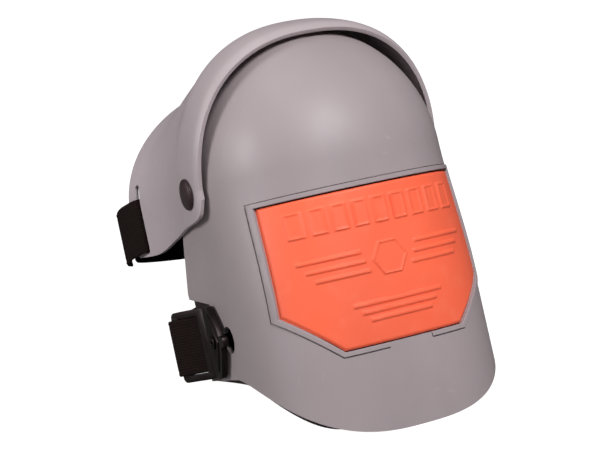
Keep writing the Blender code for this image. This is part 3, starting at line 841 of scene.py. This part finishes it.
def clip_body():
    """The right clip: a tab with a tongue over the keyhole, a V ridge, and the bent open frame."""
    half = CLIP_FRAME / 2
    tab = (
        (0.0125, half - 0.002),
        (0.0150, half),
        (0.029, half),
        (0.029, -half),
        (0.0150, -half),
        (0.0125, -half + 0.002),
        (0.0026, -0.0070),
        (0.0020, -0.0040),
        (-0.0040, -0.0029),
        (-0.0046, -0.0018),
        (-0.0046, 0.0018),
        (-0.0040, 0.0029),
        (0.0020, 0.0040),
        (0.0026, 0.0070),
    )
    ridge = (
        (0.0140, half - 0.006),
        (0.0163, half - 0.0045),
        (0.0066, 0.0),
        (0.0163, 0.0045 - half),
        (0.0140, 0.006 - half),
        (0.0046, 0.0),
    )
    top = CLIP_FACE + CLIP_THICK
    body = prism("clip", [(y, CLIP_Z + z) for y, z in tab], CLIP_FACE, top, axis="X")
    frame_part = clip_frame()
    frame_part.data.transform(Matrix.Rotation(-CLIP_YAW, 4, "Z"))
    frame_part.data.transform(Matrix.Translation((CLIP_FACE, CLIP_BEND_Y, CLIP_Z)))
    cut(body, frame_part, "UNION")
    outline_at = [(y, CLIP_Z + z) for y, z in ridge]
    cut(body, prism("ridge", outline_at, CLIP_FACE + 0.002, top + 0.0009, axis="X"), "UNION")
    low, high = CLIP_FACE - 0.003, CLIP_FACE + 0.01
    bore = turned("bore", ((low, 0.0), (low, 0.0045), (high, 0.0045), (high, 0.0)), 32)
    bore.transform(Matrix.Translation((0.0, CLIP_TRAVEL, CLIP_Z)))
    cut(body, add("bore", bore))
    bake(body)
    rounded(body, 0.0007, 3, 35)
    return bake(body)


def clip_button():
    """The right button: a head inside the shell, a shank through the slot, and a dished outer end."""
    inner, top = HALF_WIDTH - WALL - GAP, CLIP_FACE + CLIP_THICK + 0.0016
    back = inner - BUTTON_THICK
    profile = [
        (back, 0.0),
        (back, BUTTON_R - 0.0004),
        (back + 0.0004, BUTTON_R),
        (inner - 0.0004, BUTTON_R),
        (inner, BUTTON_R - 0.0004),
        (inner, BUTTON_SHANK_R),
        (top - 0.0004, BUTTON_SHANK_R),
        (top, 0.0037),
        (top, 0.0023),
        (top - 0.0003, 0.0019),
        (top - 0.0026, 0.0017),
        (top - 0.0026, 0.0),
    ]
    button = turned("button", profile, 48)
    button.transform(Matrix.Translation((0.0, CLIP_TRAVEL, CLIP_Z)))
    return button


def clips():
    right, button = clip_body(), clip_button()
    for word, side in (("right", lambda mesh: mesh.copy()), ("left", mirrored)):
        clip = add(f"clip_{word}", side(right.data))
        finish_piece(clip, f"clip_{word}", [f"strap_clip_{word}"], BLACK, 35)
        knob = add(f"button_{word}", side(button))
        finish_piece(knob, f"clip_{word}", [f"clip_button_{word}"], BLACK)
    bpy.data.objects.remove(right, do_unlink=True)


# ---------------------------------------------------------------- straps


def band(name, path, body, node):
    """Woven tape along a path: cross ribs and thicker edge cords in its own shape."""
    points = np.array(path)
    places = np.linspace(0.0, len(points) - 1.0001, (len(points) - 1) * 14)
    dense = [np.array(spline(points, place)) for place in places]
    pieces = [np.linalg.norm(b - a) for a, b in zip(dense, dense[1:])]
    length = np.concatenate([[0.0], np.cumsum(pieces)])
    count = max(24, int(length[-1] / RIB_PITCH))
    along = np.linspace(0.0, length[-1], count)
    line = np.column_stack([np.interp(along, length, [p[k] for p in dense]) for k in range(3)])
    tangent = np.gradient(line, axis=0)
    tangent /= np.linalg.norm(tangent, axis=1)[:, None]
    outward = np.cross(tangent, (0.0, 0.0, 1.0))
    outward /= np.linalg.norm(outward, axis=1)[:, None]
    across = steps(-1.0, 1.0, 25)
    mesh = bpy.data.meshes.new(name)
    bm = bmesh.new()
    layer = bm.loops.layers.uv.new("weave")
    loops = []
    for i, (at, out) in enumerate(zip(line, outward)):
        rib = RIB_HEIGHT * (1 if i % 2 else -1)
        ring = []
        for face in (1, -1):
            for t in across if face > 0 else reversed(across):
                edge = abs(t)
                half = STRAP_THICK / 2 * (1.0 if edge < 0.985 else 0.45)
                cord = EDGE_CORD * math.exp(-(((edge - 0.93) / 0.035) ** 2))
                groove = -CORD_GROOVE * math.exp(-(((edge - 0.84) / 0.022) ** 2))
                lift = half - RIB_HEIGHT + cord + groove + (rib if edge < 0.98 else 0.0)
                place = at + out * face * lift + np.array((0.0, 0.0, t * STRAP_WIDTH / 2))
                ring.append((bm.verts.new(place), along[i], t * STRAP_WIDTH / 2))
        loops.append(ring)
    for low, high in zip(loops, loops[1:]):
        for k in range(len(low)):
            n = (k + 1) % len(low)
            corners = (low[k], low[n], high[n], high[k])
            face = bm.faces.new([c[0] for c in corners])
            for loop, corner in zip(face.loops, corners):
                loop[layer].uv = (corner[1], corner[2])
    for ring in (loops[0], loops[-1]):
        bm.faces.new([c[0] for c in ring])
    bmesh.ops.recalc_face_normals(bm, faces=bm.faces)
    bm.to_mesh(mesh)
    bm.free()
    finish_piece(add(name, mesh), body, [node], WEBBING, 50)


def both_sides(points):
    """A path from the right end to the middle, carried on to the left end."""
    return [*points, *[(-x, y, z) for x, y, z in reversed(points[:-1])]]


def shin_strap():
    """The calf strap, and its folds round the clips' rear bars, which ride on the clips."""
    gap = STRAP_THICK / 2 + GAP
    bar_front, bar_back = CLIP_REACH - CLIP_REAR_BAR, CLIP_REACH
    outside = CLIP_THICK + gap
    fold = [
        clip_local(bar_front - 0.0195, 0.0024),
        clip_local(bar_front - 0.0080, 0.0028),
        clip_local(bar_front - 0.0010, outside),
        clip_local(bar_back + 0.0009, outside + 0.0003),
        clip_local(bar_back + 0.0018, 0.0022),
        (0.0990, 0.0625),
        (0.0925, 0.0695),
        (0.0850, 0.0765),
    ]
    for side, word in ((1, "right"), (-1, "left")):
        points = [(side * x, y, CLIP_Z) for x, y in fold]
        band(f"lower_fold_{word}", points, f"clip_{word}", f"shin_loop_{word}")
    route = [
        (0.0966, 0.0690, CLIP_Z),
        (0.0869, 0.0786, CLIP_Z + 0.0008),
        (0.0760, 0.0876, CLIP_Z + 0.0038),
        (0.0620, 0.0955, CLIP_Z + 0.0060),
        (0.0340, 0.1025, CLIP_Z + 0.0090),
        (0.0, 0.1045, CLIP_Z + 0.0100),
    ]
    band("lower_band", both_sides(route), "lower", "shin_strap")


def thigh_strap():
    """The thigh strap, and its folds out through the cuff's slots."""
    z, rear = THIGH_STRAP_Z, LOOP_REAR_Y
    gap = STRAP_THICK / 2 + GAP
    mid = SLOT_Y + SLOT_WIDTH / 2
    wall_out = cuff_side_x(mid) + gap + 0.0004
    wall_in = cuff_side_x(mid) - CUFF_WALL - gap - 0.0006
    out = cuff_side_x(rear) + gap + 0.0002
    far = cuff_side_x(rear) - CUFF_WALL / 2
    fold = [
        (wall_in, mid + 0.0010, z),
        (wall_out, mid + 0.0003, z),
        (out + 0.0026, rear - 0.001, z - 0.002),
        (out + 0.0046, rear + 0.007, z - 0.004),
        (far + 0.0062, rear + 0.017, z - 0.006),
        (far + 0.0010, rear + 0.025, z - 0.007),
    ]
    for side, word in ((1, "right"), (-1, "left")):
        points = [(side * x, y, z) for x, y, z in fold]
        band(f"upper_fold_{word}", points, "thigh", f"thigh_loop_{word}")
    route = [
        (cuff_side_x(rear) - CUFF_WALL - gap - 0.0012, rear - 0.004, z),
        (cuff_side_x(rear) - CUFF_WALL - gap, rear + 0.004, z),
        (far - 0.0014, rear + 0.018, z - 0.003),
        (0.0900, 0.1350, z - 0.006),
        (0.0500, 0.1440, z - 0.010),
        (0.0, 0.1470, z - 0.012),
    ]
    band("upper_band", both_sides(route), "thigh", "thigh_strap")


lower_shell()
knee_insert()
knee_foam()
knee_cushion()
thigh_cuff()
thigh_foam()
rivets()
clips()
shin_strap()
thigh_strap()


# ---------------------------------------------------------------- studio


def studio():
    """A white floor that curves up into a backdrop, and reads as white to the camera."""
    rows = [[(x, y, 0.0) for x in (-3.0, 0.0, 3.0)] for y in steps(-2.5, 1.2, 9)]
    rows += [
        [(x, 1.2 + 0.8 * math.sin(a), 0.8 - 0.8 * math.cos(a)) for x in (-3.0, 0.0, 3.0)]
        for a in steps(0.1, math.pi / 2, 14)
    ]
    rows.append([(x, 2.0, 3.5) for x in (-3.0, 0.0, 3.0)])
    floor = add("backdrop", grid_mesh("backdrop", rows))
    floor.data.shade_smooth()
    look = Look("backdrop_white", Base_Color=(0.25, 0.25, 0.25, 1.0), Roughness=0.9, Specular_IOR_Level=0.1)
    look.shader.inputs["Emission Color"].default_value = (1.0, 1.0, 1.0, 1.0)
    seen = look.math("MULTIPLY", look.node("LightPath").outputs["Is Camera Ray"], BACKDROP_GLOW)
    look.tree.links.new(seen, look.shader.inputs["Emission Strength"])
    floor.data.materials.append(look.material)
    world = bpy.data.worlds.new("studio")
    bpy.context.scene.world = world
    world.use_nodes = True
    world.node_tree.nodes["Background"].inputs["Color"].default_value = (1.0, 1.0, 1.0, 1.0)
    world.node_tree.nodes["Background"].inputs["Strength"].default_value = 0.15


def lamp(name, where, target, size, power):
    data = bpy.data.lights.new(name, "AREA")
    data.shape = "RECTANGLE"
    data.size, data.size_y = size
    data.energy = power
    thing = bpy.data.objects.new(name, data)
    bpy.context.scene.collection.objects.link(thing)
    thing.location = where
    thing.rotation_euler = (Vector(target) - Vector(where)).to_track_quat("-Z", "Y").to_euler()


def camera():
    forward, right = Vector(CAMERA_FORWARD).normalized(), Vector(CAMERA_RIGHT)
    right = (right - forward * right.dot(forward)).normalized()
    up = right.cross(forward)
    data = bpy.data.cameras.new("camera")
    data.lens, data.sensor_width = 93.9, 36.0
    data.shift_x, data.shift_y = -0.0133, -0.0954
    thing = bpy.data.objects.new("camera", data)
    bpy.context.scene.collection.objects.link(thing)
    turn = Matrix((right, up, -forward)).transposed().to_4x4()
    thing.matrix_world = Matrix.Translation(PIVOT - forward * CAMERA_DISTANCE) @ turn
    bpy.context.scene.camera = thing


studio()
lamp("key", (-0.02, -0.80, 0.98), (0.0, 0.0, 0.19), (0.46, 0.46), 13.0)
lamp("side", (-1.20, 0.20, 0.45), (-0.10, 0.09, 0.15), (0.40, 0.40), 7.5)
lamp("top", (-0.3, 0.5, 1.5), (0.0, 0.0, 0.18), (0.9, 0.9), 1.5)
camera()
bpy.context.scene.view_settings.view_transform = "Standard"
